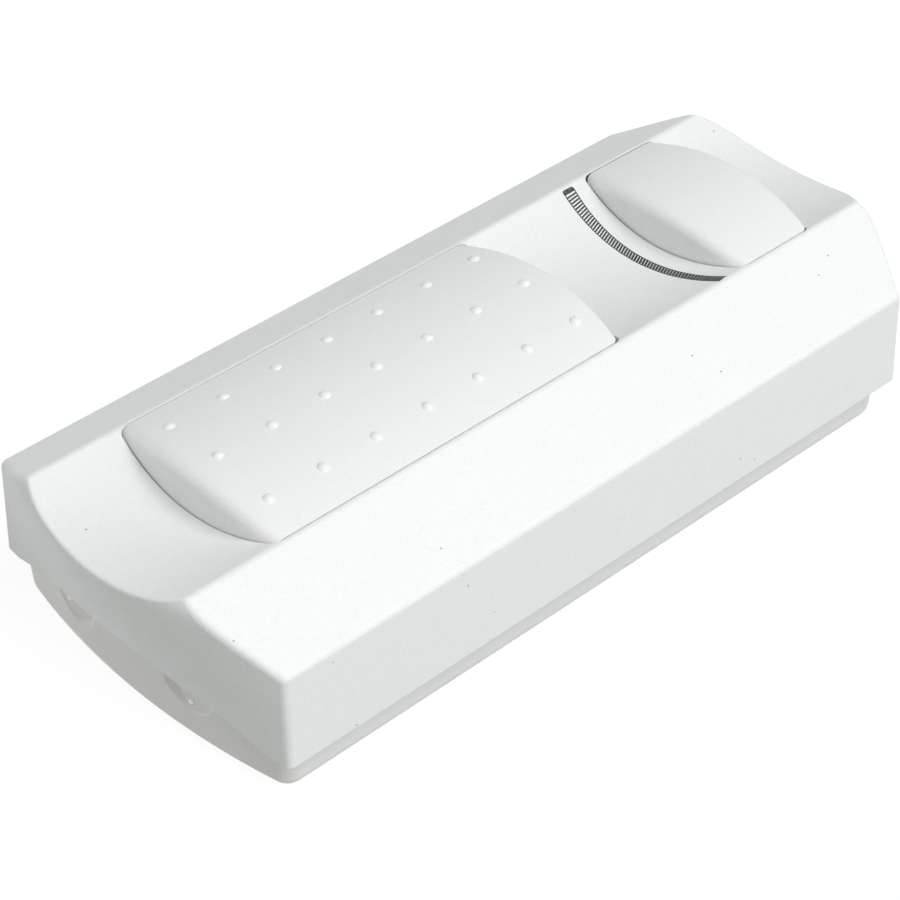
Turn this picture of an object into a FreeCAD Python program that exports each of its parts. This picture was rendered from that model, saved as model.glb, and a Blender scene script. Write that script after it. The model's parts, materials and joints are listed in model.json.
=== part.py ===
import FreeCAD, Part
import math
import os

# Inline dimmer worked by foot: a long housing of two shells, a large foot key that switches
# the lamp, and a small dimming rocker that tilts from side to side and sets the level.
# Millimetres. +X runs along the housing towards the dimming rocker, +Z is up, and the origin
# lies under the middle of the housing at the height of the floor that its pads stand on.

# Cover shell
body_width = 60.0
corner_half_length = 60.0
side_height = 15.3
side_draft = 0.5
shoulder_rise = 8.0
lip_half_gap = 16.5
channel_depth = 3.6
cover_wall = 2.2
end_low_bow = 1.35
end_top_bow = 8.6
end_fullness = 1.5
end_levels = 16
end_top_set_back = 1.3
rear_swell = 0.85
edge_round = 1.2
channel_edge_round = 0.5

# Base shell, set back under the cover
base_height = 7.4
base_set_back = 1.4
base_end_reach = 2.5
base_bow = 3.4
base_corner_radius = 3.3
base_draft = 0.08
base_wall = 2.0
base_floor = 2.0
base_edge_round = 2.4

# Joint between the shells: an arch in the middle of each end, and a tongue along each side
arch_rise = 4.3
arch_inset = 3.0
tongue_thickness = 1.2
tongue_rise = 1.7
tongue_root = 3.0
tongue_gap = 0.2
tongue_end_inset = 7.5

# Foot key
key_front_inset = 9.0
key_length = 66.7
key_lip_gap = 0.4
crown_rise = 2.72
crown_radius = 46.7
bow_radius = 82.0
key_wall = 2.0
key_skirt_drop = 1.4
key_front_round = 2.0
key_rear_round = 0.8
key_corner_round = 1.6
key_front_gap = 0.15
key_rear_gap = 0.6
key_side_gap = 0.2
key_hinge_inset = 5.0
key_hinge_drop = 3.8
hook_y = 5.0
hook_half_width = 2.0
hook_reach = 1.4
hook_drop = 0.8
hook_gap = 0.3
nub_diameter = 1.75
nub_height = 0.45
nub_pitch = 9.415
nub_first_inset = 5.65
nub_last_inset = 3.0
nub_row_spacing = 10.19

# Hinge lugs of the foot key, one pair on the key and one on the cover
lug_half_length = 3.0
lug_thickness = 3.0
lug_side_gap = 0.6
lug_foot = 1.5

# Dimming rocker
rocker_rear_inset = 4.3
rocker_length = 17.5
rocker_pivot_drop = 3.0
rocker_wall = 2.0
rocker_skirt_drop = 0.9
rocker_end_gap = 0.25
rocker_side_gap = 0.12
rocker_opening_round = 1.3
rocker_lug_gap = 0.8
rocker_lug_thickness = 2.8
rocker_lug_half_width = 3.0
rocker_hub_radius = 2.6
rocker_hub_inset = 0.3
rocker_room_drop = 4.0
fork_half_length = 2.0
fork_half_width = 3.0
fork_gap = 0.08

# Pins and fits
pin_radius = 1.0
running_gap = 0.05
seat_gap = 0.02
passing_gap = 0.2

# Screws that hold the shells together, from below
housing_screw_inset_x = 6.7
housing_screw_inset_y = 7.5
housing_screw_radius = 1.45
housing_head_radius = 2.75
housing_head_height = 2.2
housing_screw_length = 14.6
screw_tip_gap = 0.5
counterbore_gap = 0.35
counterbore_depth = 4.0
boss_radius = 3.0
post_radius = 4.2
post_rise = 1.5

# Pads that the dimmer stands on
pad_stand = 0.4
pad_radius = 4.5
pad_recess = 0.8
pad_gap = 0.1
pad_to_screw_x = 10.5
pad_to_screw_y = 3.5

# Cord entries and clamps
entry_side_inset = 17.4
entry_radius = 4.6
entry_below_arch = 1.3
entry_bevel = 0.6
recess_depth = 0.5
cord_radius = 3.3
clamp_inset = 14.2
clamp_post_offset = 6.4
clamp_post_radius = 2.2
clamp_seat_drop = 1.3
clamp_thickness = 2.2
clamp_length = 17.0
clamp_width = 5.0
clamp_arch_drop = 2.2
clamp_bite = 0.3
saddle_half_length = 1.2
saddle_half_width = 4.5

# Small self-tapping screws
small_screw_radius = 1.1
small_head_radius = 2.0
small_head_height = 1.4
board_screw_length = 4.4
clamp_screw_length = 7.0
pilot_extra = 0.2
cross_width = 0.8
cross_margin = 0.6
cross_depth = 0.7

# Circuit board
board_thickness = 1.6
board_to_clamp = 9.0
board_to_pot = 5.0
board_half_width = 17.8
board_lift = 3.2
board_post_radius = 2.5
board_post_inset_x = 3.5
board_post_inset_y = 2.8
board_post_gap = 0.4

# Push switch under the foot key
switch_to_key_rear = 12.7
switch_length = 14.0
switch_width = 13.0
switch_height = 11.0
switch_well_depth = 6.0
plunger_size = 5.0
plunger_rise = 3.4
plunger_root = 3.2
plunger_gap = 0.15
pusher_radius = 1.6
pusher_half_width = 3.0

# Return spring
spring_to_switch = 17.0
spring_mean_radius = 3.1
spring_wire = 0.7
spring_turns = 6
spring_seat_rise = 1.4
spring_seat_margin = 1.4
spring_spigot_height = 3.0
spring_spigot_gap = 0.45
spring_top_above_skirt = 0.1

# Slide potentiometer under the rocker
pot_length = 9.0
pot_width = 20.0
pot_height = 3.2
pot_slot_half_length = 1.4
pot_slot_half_width = 5.0
pot_slot_depth = 2.0
pot_pin_radius = 1.0
pot_pin_rise = 1.4
pot_pin_length = 4.0
slider_half_length = 1.2
slider_half_width = 2.2
slider_height = 1.6
slider_gap = 0.1
slider_stem_half_length = 1.0
slider_stem_half_width = 0.6

# Terminal block
terminal_inset = 2.0
terminal_width = 8.0
terminal_length = 20.0
terminal_height = 9.5
terminal_poles = 4
wire_hole_radius = 1.6
wire_hole_height = 3.6
terminal_screw_radius = 1.5
terminal_screw_length = 3.0
terminal_screw_sink = 0.9
terminal_slot_width = 0.5
terminal_slot_depth = 0.6

# Fuse and its clips
fuse_length = 20.0
fuse_radius = 2.6
fuse_cap_length = 5.0
fuse_glass_step = 0.25
fuse_rise = 4.4
fuse_side_inset = 4.4
fuse_to_terminal = 1.0
clip_width = 4.0
clip_metal = 0.6
clip_grip = 1.2

# Triac on its heat sink
sink_side_inset = 3.2
sink_thickness = 1.5
sink_length = 34.0
sink_height = 11.5
sink_shelf = 3.0
triac_to_switch = 9.0
triac_width = 10.0
triac_depth = 4.4
triac_case_height = 4.5
triac_lift = 1.5
tab_thickness = 1.3
tab_height = 9.5
leg_pitch = 2.54
leg_half_width = 0.4
leg_thickness = 0.6
leg_setback = 1.9
triac_screw_rise = 8.6
triac_screw_radius = 1.5
triac_head_radius = 2.4
triac_head_height = 1.8
triac_screw_reach = 1.0

# Suppression choke
choke_y = -8.0
choke_radius = 7.2
choke_height = 12.0
choke_flange = 1.6
choke_post_radius = 3.2
winding_margin = 0.7

# Capacitors, resistors and diac
capacitor_size = (13.0, 7.5, 12.0)
capacitor_y = 6.75
capacitor_round = 0.8
timing_offset = 2.0
timing_size = (7.0, 2.8, 7.0)
timing_y = 13.8
timing_round = 0.5
resistor_length = 6.0
resistor_radius = 1.2
resistor_to_switch = 3.0
resistor_first_y = 9.2
resistor_pitch = 3.0
resistor_count = 3
diac_length = 3.0
diac_radius = 0.9
diac_offset = 7.5
diac_y = 13.8
lead_radius = 0.3
lead_out = 1.6
lead_bend = 0.6
lead_lift = 0.05

# Working margins of the solids that others are cut from
cut_margin = 1.0
joint_overlap = 2.0
top_margin = 5.0
end_margin = 30.0

# Heights worked out from the dimensions above
edge_z = pad_stand + base_height
shoulder_z = edge_z + side_height
lip_z = shoulder_z + shoulder_rise
channel_z = lip_z - channel_depth
crown_z = lip_z + crown_rise
floor_z = pad_stand + base_floor
arch_z = edge_z + arch_rise
entry_z = arch_z - entry_below_arch
channel_floor_z = channel_z - cover_wall
channel_radius = (lip_half_gap ** 2 + channel_depth ** 2) / (2 * channel_depth)
channel_centre_z = channel_z + channel_radius
crown_centre_z = crown_z - crown_radius
over_all_z = crown_z + top_margin
end_top_z = lip_z + cut_margin
key_hinge_z = channel_floor_z - key_hinge_drop
key_skirt_z = channel_floor_z - key_skirt_drop
rocker_pivot_z = channel_floor_z - rocker_pivot_drop
rocker_skirt_z = channel_floor_z - rocker_skirt_drop
board_z = floor_z + board_lift
board_top_z = board_z + board_thickness
spring_seat_z = board_top_z + spring_seat_rise
spring_top_z = key_skirt_z + spring_top_above_skirt
switch_top_z = board_top_z + switch_height
plunger_top_z = switch_top_z + plunger_rise
pot_top_z = board_top_z + pot_height
pot_pin_z = pot_top_z + pot_pin_rise
post_top_z = edge_z + post_rise
screw_shoulder_z = pad_stand + counterbore_depth
screw_tip_z = screw_shoulder_z + housing_screw_length
clamp_seat_z = entry_z + cord_radius - clamp_seat_drop

# Places along and across the housing
half_width = body_width / 2
entry_y = half_width - entry_side_inset
reach = corner_half_length + end_margin
base_half_width = half_width - base_set_back
base_end_x = corner_half_length + base_end_reach
arch_half_width = half_width - arch_inset
key_half_width = lip_half_gap - key_lip_gap
key_front_x = key_front_inset - corner_half_length
key_rear_x = key_front_x + key_length
key_hinge_x = key_front_x + key_hinge_inset
rocker_rear_x = corner_half_length - rocker_rear_inset
rocker_front_x = rocker_rear_x - rocker_length
housing_screw_x = corner_half_length - housing_screw_inset_x
housing_screw_y = half_width - housing_screw_inset_y
pad_x = housing_screw_x - pad_to_screw_x
pad_y = housing_screw_y - pad_to_screw_y
clamp_x = clamp_inset - corner_half_length
pot_x = (rocker_front_x + rocker_rear_x) / 2
switch_x = key_rear_x - switch_to_key_rear
spring_x = switch_x - spring_to_switch
board_front_x = clamp_x + board_to_clamp
board_rear_x = pot_x + board_to_pot
terminal_x = board_front_x + terminal_inset + terminal_width / 2
fuse_x = terminal_x + terminal_width / 2 + fuse_to_terminal + fuse_length / 2
fuse_y = board_half_width - fuse_side_inset
fuse_z = board_top_z + fuse_rise
triac_x = switch_x - triac_to_switch
sink_y = sink_side_inset - board_half_width
bay_x = (switch_x + switch_length / 2 + pot_x - pot_length / 2) / 2
timing_x = bay_x - timing_offset
resistor_x = switch_x + resistor_to_switch
diac_x = bay_x + diac_offset
nub_columns = int((key_length - nub_first_inset - nub_last_inset) / nub_pitch) + 1


def corners(x, y):
    return [(sx * x, sy * y) for sx in (-1, 1) for sy in (-1, 1)]


housing_screw_places = corners(housing_screw_x, housing_screw_y)
pad_places = corners(pad_x, pad_y)
board_post_places = [(x, side * (board_half_width - board_post_inset_y))
                     for x in (board_front_x + board_post_inset_x, board_rear_x - board_post_inset_x)
                     for side in (-1, 1)]
clamp_screw_places = [(clamp_x, side * (entry_y + offset))
                      for side in (-1, 1)
                      for offset in (-clamp_post_offset, clamp_post_offset)]


def box(x0, x1, y0, y1, z0, z1):
    return Part.makeBox(x1 - x0, y1 - y0, z1 - z0, FreeCAD.Vector(x0, y0, z0))


# A box given by its middle in plan, its half sizes and its two heights
def block(x, y, half_x, half_y, z0, z1):
    return box(x - half_x, x + half_x, y - half_y, y + half_y, z0, z1)


def upright(x, y, z0, z1, radius):
    return Part.makeCylinder(radius, z1 - z0, FreeCAD.Vector(x, y, z0), FreeCAD.Vector(0, 0, 1))


def along_x(x0, x1, y, z, radius):
    return Part.makeCylinder(radius, x1 - x0, FreeCAD.Vector(x0, y, z), FreeCAD.Vector(1, 0, 0))


def along_y(x, y0, y1, z, radius):
    return Part.makeCylinder(radius, y1 - y0, FreeCAD.Vector(x, y0, z), FreeCAD.Vector(0, 1, 0))


def line(a, b):
    return Part.LineSegment(FreeCAD.Vector(*a), FreeCAD.Vector(*b)).toShape()


def arc(a, middle, b):
    return Part.Arc(FreeCAD.Vector(*a), FreeCAD.Vector(*middle), FreeCAD.Vector(*b)).toShape()


def bar_along_x(edges):
    return Part.Face(Part.Wire(edges)).extrude(FreeCAD.Vector(2 * reach, 0, 0))


def joined(shapes):
    return shapes[0].multiFuse(shapes[1:]).removeSplitter()


# How far the walls of the cover have drafted outwards at a height, measured from the shoulders' edge
def flare(z):
    return side_draft * (shoulder_z - z) / side_height


# Outline of the housing across its length: drafted sides, sloping shoulders, hollow channel.
def housing_section(inset):
    side = half_width - inset + flare(0)
    slope = math.hypot(half_width - lip_half_gap, shoulder_rise)
    normal_y = shoulder_rise / slope
    normal_z = (half_width - lip_half_gap) / slope
    shoulder_reach = normal_y * lip_half_gap + normal_z * lip_z - inset
    corner_z = (shoulder_reach - normal_y * side) / (normal_z - normal_y * side_draft / side_height)
    corner_y = half_width - inset + flare(corner_z)
    foot = shoulder_reach - normal_z * channel_centre_z
    radius = channel_radius + inset
    along = math.sqrt(radius ** 2 - foot ** 2)
    ridge_y = foot * normal_y + along * normal_z
    ridge_z = channel_centre_z + foot * normal_z - along * normal_y
    bottom = channel_centre_z - radius
    return bar_along_x([
        line((-reach, -side, 0), (-reach, -corner_y, corner_z)),
        line((-reach, -corner_y, corner_z), (-reach, -ridge_y, ridge_z)),
        arc((-reach, -ridge_y, ridge_z), (-reach, 0, bottom), (-reach, ridge_y, ridge_z)),
        line((-reach, ridge_y, ridge_z), (-reach, corner_y, corner_z)),
        line((-reach, corner_y, corner_z), (-reach, side, 0)),
        line((-reach, side, 0), (-reach, -side, 0)),
    ])


# The ends are bowed more the higher they are, and round over above the bottom of the channel.
# The rear end swells out further than the front end between the shoulders' edge and the lips.
def end_outline(z, inset):
    depth_share = (end_top_z - z) / (end_top_z - edge_z)
    sag = end_top_bow - (end_top_bow - end_low_bow) * depth_share ** end_fullness
    radius = (half_width ** 2 + sag ** 2) / (2 * sag)
    rise_share = max(z - channel_z, 0) / channel_depth
    centre = corner_half_length + flare(z) - end_top_set_back * rise_share ** 2 + sag - radius
    tip = centre + radius - inset
    swell_share = abs(2 * z - lip_z - shoulder_z) / shoulder_rise
    rear_tip = tip + rear_swell * max(1 - swell_share ** 4, 0)
    wide = half_width + joint_overlap
    side_x = centre + math.sqrt((radius - inset) ** 2 - wide ** 2)
    return Part.Wire([
        line((-side_x, -wide, z), (side_x, -wide, z)),
        arc((side_x, -wide, z), (rear_tip, 0, z), (side_x, wide, z)),
        line((side_x, wide, z), (-side_x, wide, z)),
        arc((-side_x, wide, z), (-tip, 0, z), (-side_x, -wide, z)),
    ])


def ends_above(low_z, inset):
    level_gap = (end_top_z - low_z) / end_levels
    levels = [end_top_z - step * level_gap for step in range(end_levels, -1, -1)]
    return Part.makeLoft([end_outline(z, inset) for z in levels], True, False)


# Outline of the base: straight sides, bowed ends and round corners, all slightly drafted.
def base_outline(z, inset):
    grow = base_draft * (z - edge_z) - inset
    side = base_half_width + grow
    tip = base_end_x + grow
    radius = (base_half_width ** 2 + base_bow ** 2) / (2 * base_bow) + grow
    corner = base_corner_radius + grow
    centre = tip - radius
    corner_y = side - corner
    corner_x = centre + math.sqrt((radius - corner) ** 2 - corner_y ** 2)
    turn = math.atan2(corner_y, corner_x - centre)
    touch_x = centre + radius * math.cos(turn)
    touch_y = radius * math.sin(turn)
    half_turn = (turn + math.pi / 2) / 2
    round_x = corner_x + corner * math.cos(half_turn)
    round_y = corner_y + corner * math.sin(half_turn)
    edges = [
        line((-corner_x, -side, z), (corner_x, -side, z)),
        line((corner_x, side, z), (-corner_x, side, z)),
    ]
    for end in (-1, 1):
        edges.append(arc((end * touch_x, -touch_y, z), (end * tip, 0, z), (end * touch_x, touch_y, z)))
        for side_sign in (-1, 1):
            edges.append(arc((end * corner_x, side_sign * side, z),
                             (end * round_x, side_sign * round_y, z),
                             (end * touch_x, side_sign * touch_y, z)))
    return Part.Wire(Part.__sortEdges__(edges))


def base_block(z0, z1, inset):
    return Part.makeLoft([base_outline(z0, inset), base_outline(z1, inset)], True, True)


# Everything under the joint between the shells
def below_joint():
    low = -cut_margin
    wide = body_width
    return bar_along_x([
        line((-reach, -wide, low), (-reach, -wide, edge_z)),
        line((-reach, -wide, edge_z), (-reach, -arch_half_width, edge_z)),
        arc((-reach, -arch_half_width, edge_z), (-reach, 0, arch_z), (-reach, arch_half_width, edge_z)),
        line((-reach, arch_half_width, edge_z), (-reach, wide, edge_z)),
        line((-reach, wide, edge_z), (-reach, wide, low)),
        line((-reach, wide, low), (-reach, -wide, low)),
    ])


# Plan of a key: straight sides and two bowed ends, grown outwards by a gap.
def bowed_plan(front_x, rear_x, half, front_grow, rear_grow, z0, z1):
    front_radius = bow_radius + front_grow
    rear_radius = bow_radius + rear_grow
    front_tip = front_x - front_grow
    rear_tip = rear_x + rear_grow
    front_side = front_tip + front_radius - math.sqrt(front_radius ** 2 - half ** 2)
    rear_side = rear_tip - rear_radius + math.sqrt(rear_radius ** 2 - half ** 2)
    edges = [
        line((front_side, -half, z0), (rear_side, -half, z0)),
        arc((rear_side, -half, z0), (rear_tip, 0, z0), (rear_side, half, z0)),
        line((rear_side, half, z0), (front_side, half, z0)),
        arc((front_side, half, z0), (front_tip, 0, z0), (front_side, -half, z0)),
    ]
    return Part.Face(Part.Wire(edges)).extrude(FreeCAD.Vector(0, 0, z1 - z0))


def rounded_plan(front_x, rear_x, half, front_grow, rear_grow, low_z):
    plan = bowed_plan(front_x, rear_x, half, front_grow, rear_grow, low_z, over_all_z)
    uprights = [edge for edge in plan.Edges if edge.BoundBox.ZLength > cut_margin]
    return plan.makeFillet(key_corner_round, uprights)


def crown_height(y, inset):
    return crown_centre_z + math.sqrt((crown_radius - inset) ** 2 - y ** 2)


# Section of both keys: upright sides under a gently crowned top.
def key_section(inset, bottom):
    side = key_half_width - inset
    top = crown_height(side, inset)
    return bar_along_x([
        line((-reach, -side, bottom), (-reach, -side, top)),
        arc((-reach, -side, top), (-reach, 0, crown_height(0, inset)), (-reach, side, top)),
        line((-reach, side, top), (-reach, side, bottom)),
        line((-reach, side, bottom), (-reach, -side, bottom)),
    ])


# Shell of a key: a crowned block, soft at its front and crisper at its rear, hollow from below.
def key_shell(front_x, rear_x, wall, skirt_z):
    solid = key_section(0.0, skirt_z).common(
        bowed_plan(front_x, rear_x, half_width, 0.0, 0.0, skirt_z, over_all_z))
    middle_x = (front_x + rear_x) / 2
    for rounding, side in ((key_front_round, -1), (key_rear_round, 1)):
        top_edges = [edge for edge in solid.Edges
                     if edge.BoundBox.ZMin > lip_z - edge_round and edge.BoundBox.YLength > key_half_width
                     and side * (edge.BoundBox.Center.x - middle_x) > 0]
        solid = solid.makeFillet(rounding, top_edges)
    solid = solid.common(rounded_plan(front_x, rear_x, key_half_width, 0.0, 0.0, skirt_z))
    hollow = key_section(wall, skirt_z - cut_margin).common(
        bowed_plan(front_x, rear_x, half_width, -wall, -wall, skirt_z - cut_margin, over_all_z))
    return solid.cut(hollow)


def lug_inner_y():
    return key_half_width + lug_side_gap


def key_pin(gap):
    half = lug_inner_y() + lug_thickness
    return along_y(key_hinge_x, -half, half, key_hinge_z, pin_radius + gap)


def rocker_pin(gap):
    front = rocker_front_x - rocker_lug_gap - rocker_lug_thickness
    rear = rocker_rear_x + rocker_lug_gap + rocker_lug_thickness
    return along_x(front, rear, 0, rocker_pivot_z, pin_radius + gap)


def key_opening():
    return rounded_plan(key_front_x, key_rear_x, key_half_width + key_side_gap, key_front_gap,
                        key_rear_gap, edge_z)


# The rocker's opening is round about the pivot, so that the rocker's upper edges pass it evenly.
def rocker_opening(low_z):
    swing_radius = math.hypot(key_half_width, crown_height(key_half_width, 0) - rocker_pivot_z)
    tube = along_x(-reach, reach, 0, rocker_pivot_z, swing_radius + rocker_side_gap)
    opening = tube.common(bowed_plan(rocker_front_x, rocker_rear_x, half_width, rocker_end_gap,
                                     rocker_end_gap, low_z, over_all_z))
    rims = [edge for edge in opening.Edges
            if edge.BoundBox.ZLength > channel_depth and edge.BoundBox.XLength > cut_margin]
    return opening.makeFillet(rocker_opening_round, rims)


# The edge where the channel runs out into an end of the housing
def ends_channel(edge):
    bounds = edge.BoundBox
    return bounds.ZMin > channel_z - edge_round and lip_half_gap < bounds.YLength < half_width + lip_half_gap


def make_cover():
    rim_z = edge_z - joint_overlap
    blank = housing_section(0.0).common(ends_above(rim_z, 0.0))
    outer_edges = [edge for edge in blank.Edges if edge.BoundBox.ZMax > edge_z]
    blank = blank.makeFillet(edge_round, [edge for edge in outer_edges if not ends_channel(edge)])
    blank = blank.makeFillet(channel_edge_round, [edge for edge in blank.Edges if ends_channel(edge)])
    hollow = housing_section(cover_wall).common(ends_above(rim_z, cover_wall))
    shell = blank.cut(hollow).cut(below_joint()).cut(key_opening()).cut(rocker_opening(edge_z))
    inside = housing_section(cover_wall / 2).common(ends_above(rim_z, cover_wall / 2))
    room = rocker_opening(rocker_skirt_z - rocker_room_drop)
    fixtures = []
    for x, y in housing_screw_places:
        fixtures.append(upright(x, y, post_top_z, lip_z, boss_radius).cut(room))
    for side in (-1, 1):
        lug_y = side * (lug_inner_y() + lug_thickness / 2)
        fixtures.append(block(key_hinge_x, lug_y, lug_half_length, lug_thickness / 2,
                              key_hinge_z - pin_radius - lug_foot, lip_z))
    lug_half = rocker_lug_thickness / 2
    for x in (rocker_front_x - rocker_lug_gap - lug_half, rocker_rear_x + rocker_lug_gap + lug_half):
        fixtures.append(block(x, 0, lug_half, rocker_lug_half_width,
                              rocker_pivot_z - pin_radius - lug_foot, channel_z))
    shell = joined([shell] + [fixture.common(inside) for fixture in fixtures])
    shell = shell.cut(key_opening()).cut(key_pin(seat_gap)).cut(rocker_pin(seat_gap))
    for x, y in housing_screw_places:
        shell = shell.cut(upright(x, y, post_top_z - cut_margin, screw_tip_z + screw_tip_gap,
                                  housing_screw_radius + running_gap))
    return shell


# A round knock-out, seen as a half disc under the joint: a flat face with a bevelled rim, recessed
# from the front end face
def entry_recess(side):
    face_x = base_end_x - base_bow * (entry_y / base_half_width) ** 2
    face_x += base_draft * (entry_z - entry_radius / 2 - edge_z)
    outer_radius = entry_radius + entry_bevel * base_wall / recess_depth
    return Part.makeCone(outer_radius, entry_radius - entry_bevel, base_wall + recess_depth,
                         FreeCAD.Vector(-face_x - base_wall, side * entry_y, entry_z),
                         FreeCAD.Vector(1, 0, 0))


def base_ribs():
    root_z = pad_stand + base_floor / 4
    ribs = []
    tongue_half_length = housing_screw_x - tongue_end_inset
    tongue_y = half_width + side_draft - cover_wall - tongue_gap - tongue_thickness / 2
    for side in (-1, 1):
        ribs.append(block(0, side * tongue_y, tongue_half_length, tongue_thickness / 2,
                          edge_z - tongue_root, edge_z + tongue_rise))
        ribs.append(block(clamp_x, side * entry_y, saddle_half_length, saddle_half_width, root_z,
                          entry_z - cord_radius))
    for x, y in housing_screw_places:
        ribs.append(upright(x, y, root_z, post_top_z, post_radius))
    for x, y in board_post_places:
        ribs.append(upright(x, y, root_z, board_z, board_post_radius))
    for x, y in clamp_screw_places:
        ribs.append(upright(x, y, root_z, clamp_seat_z, clamp_post_radius))
    ribs.append(upright(spring_x, 0, root_z, spring_seat_z, spring_mean_radius + spring_seat_margin))
    ribs.append(upright(spring_x, 0, root_z, spring_seat_z + spring_spigot_height, spigot_radius()))
    return ribs


def spigot_radius():
    return spring_mean_radius - spring_wire / 2 - spring_spigot_gap


def make_base():
    blank = base_block(pad_stand, arch_z + cut_margin, 0.0)
    bottom_edges = [edge for edge in blank.Edges if edge.BoundBox.ZMax < pad_stand + seat_gap]
    blank = blank.makeFillet(base_edge_round, bottom_edges)
    hollow = base_block(floor_z, arch_z + joint_overlap, base_wall)
    shell = blank.cut(hollow).common(below_joint())
    envelope = base_block(pad_stand + base_floor / 4, clamp_seat_z + cut_margin, base_wall / 4)
    shell = joined([shell] + [rib.common(envelope) for rib in base_ribs()])
    for x, y in housing_screw_places:
        shell = shell.cut(upright(x, y, -cut_margin, screw_shoulder_z, housing_head_radius + counterbore_gap))
        shell = shell.cut(upright(x, y, -cut_margin, post_top_z + cut_margin,
                                  housing_screw_radius + passing_gap))
    for x, y in pad_places:
        shell = shell.cut(upright(x, y, -cut_margin, pad_stand + pad_recess, pad_radius + pad_gap))
    pilot_radius = small_screw_radius + running_gap
    for x, y in board_post_places:
        shell = shell.cut(upright(x, y, board_top_z - board_screw_length - pilot_extra,
                                  board_z + cut_margin, pilot_radius))
    for x, y in clamp_screw_places:
        shell = shell.cut(upright(x, y, clamp_seat_z + clamp_thickness - clamp_screw_length - pilot_extra,
                                  clamp_seat_z + cut_margin, pilot_radius))
    for side in (-1, 1):
        shell = shell.cut(entry_recess(side))
    return shell


def nub(x, y):
    radius = ((nub_diameter / 2) ** 2 + nub_height ** 2) / (2 * nub_height)
    return Part.makeSphere(radius, FreeCAD.Vector(x, y, crown_height(y, 0) + nub_height - radius))


# Foot key with its hinge lugs, stop hooks, pusher, spring spigot and rows of nubs
def make_foot_key():
    shell = key_shell(key_front_x, key_rear_x, key_wall, key_skirt_z)
    inner_top_z = crown_z - key_wall / 2
    extras = []
    for side in (-1, 1):
        extras.append(block(key_hinge_x, side * (key_half_width - key_wall / 2), lug_half_length,
                            key_wall / 2, key_hinge_z - pin_radius - lug_foot, key_skirt_z + key_wall))
        extras.append(box(key_rear_x - key_wall, key_rear_x + key_rear_gap + hook_reach,
                          side * hook_y - hook_half_width, side * hook_y + hook_half_width,
                          key_skirt_z - hook_drop, channel_floor_z - hook_gap))
    pusher_z = plunger_top_z + plunger_gap + pusher_radius
    extras.append(block(switch_x, 0, pusher_radius, pusher_half_width, pusher_z, inner_top_z))
    extras.append(along_y(switch_x, -pusher_half_width, pusher_half_width, pusher_z, pusher_radius))
    extras.append(upright(spring_x, 0, spring_top_z, inner_top_z, spring_mean_radius + spring_wire))
    extras.append(upright(spring_x, 0, spring_top_z - spring_spigot_height, spring_top_z + cut_margin,
                          spigot_radius()))
    for row in (-1, 0, 1):
        for column in range(nub_columns):
            extras.append(nub(key_front_x + nub_first_inset + column * nub_pitch, row * nub_row_spacing))
    shell = joined([shell] + extras)
    return shell.cut(along_y(key_hinge_x, -half_width, half_width, key_hinge_z, pin_radius + running_gap))


# Dimming rocker with its hubs and the fork that moves the potentiometer
def make_rocker():
    shell = key_shell(rocker_front_x, rocker_rear_x, rocker_wall, rocker_skirt_z)
    extras = []
    for x0 in (rocker_front_x + rocker_hub_inset, rocker_rear_x - rocker_hub_inset - rocker_wall):
        extras.append(box(x0, x0 + rocker_wall, -rocker_hub_radius, rocker_hub_radius, rocker_pivot_z,
                          rocker_skirt_z + rocker_wall))
        extras.append(along_x(x0, x0 + rocker_wall, 0, rocker_pivot_z, rocker_hub_radius))
    fork_bottom = pot_pin_z - pot_pin_radius + passing_gap
    extras.append(block(pot_x, 0, fork_half_length, fork_half_width, fork_bottom,
                        crown_z - rocker_wall / 2))
    shell = joined([shell] + extras)
    shell = shell.cut(block(pot_x, 0, fork_half_length + cut_margin, pot_pin_radius + fork_gap,
                            fork_bottom - cut_margin, pot_pin_z + 2 * pot_pin_radius))
    return shell.cut(along_x(-reach, reach, 0, rocker_pivot_z, pin_radius + running_gap))


def make_pot_body():
    body = block(pot_x, 0, pot_length / 2, pot_width / 2, board_top_z, pot_top_z)
    return body.cut(block(pot_x, 0, pot_slot_half_length, pot_slot_half_width,
                          pot_top_z - pot_slot_depth, pot_top_z + cut_margin))


def make_pot_slider():
    foot_z = pot_top_z - pot_slot_depth + slider_gap
    foot = block(pot_x, 0, slider_half_length, slider_half_width, foot_z, foot_z + slider_height)
    stem = block(pot_x, 0, slider_stem_half_length, slider_stem_half_width, foot_z, pot_pin_z)
    pin = along_x(pot_x - pot_pin_length / 2, pot_x + pot_pin_length / 2, 0, pot_pin_z, pot_pin_radius)
    return joined([foot, stem, pin])


def make_switch_body():
    body = block(switch_x, 0, switch_length / 2, switch_width / 2, board_top_z, switch_top_z)
    half = plunger_size / 2 + plunger_gap
    return body.cut(block(switch_x, 0, half, half, switch_top_z - switch_well_depth,
                          switch_top_z + cut_margin))


def make_plunger():
    half = plunger_size / 2
    return block(switch_x, 0, half, half, switch_top_z - plunger_root, plunger_top_z)


# Return spring of the foot key: an open helix between its two seats
def make_spring():
    height = spring_top_z - spring_seat_z - spring_wire - 2 * seat_gap
    pitch = height / spring_turns
    helix = Part.makeHelix(pitch, height, spring_mean_radius)
    start = FreeCAD.Vector(spring_mean_radius, 0, 0)
    tangent = FreeCAD.Vector(0, 2 * math.pi * spring_mean_radius, pitch)
    ring = Part.Wire(Part.makeCircle(spring_wire / 2, start, tangent))
    coil = Part.Wire(helix).makePipeShell([ring], True, True)
    coil.translate(FreeCAD.Vector(spring_x, 0, spring_seat_z + spring_wire / 2 + seat_gap))
    print("key_return_spring gap between turns", round(pitch - spring_wire, 2))
    return coil


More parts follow.
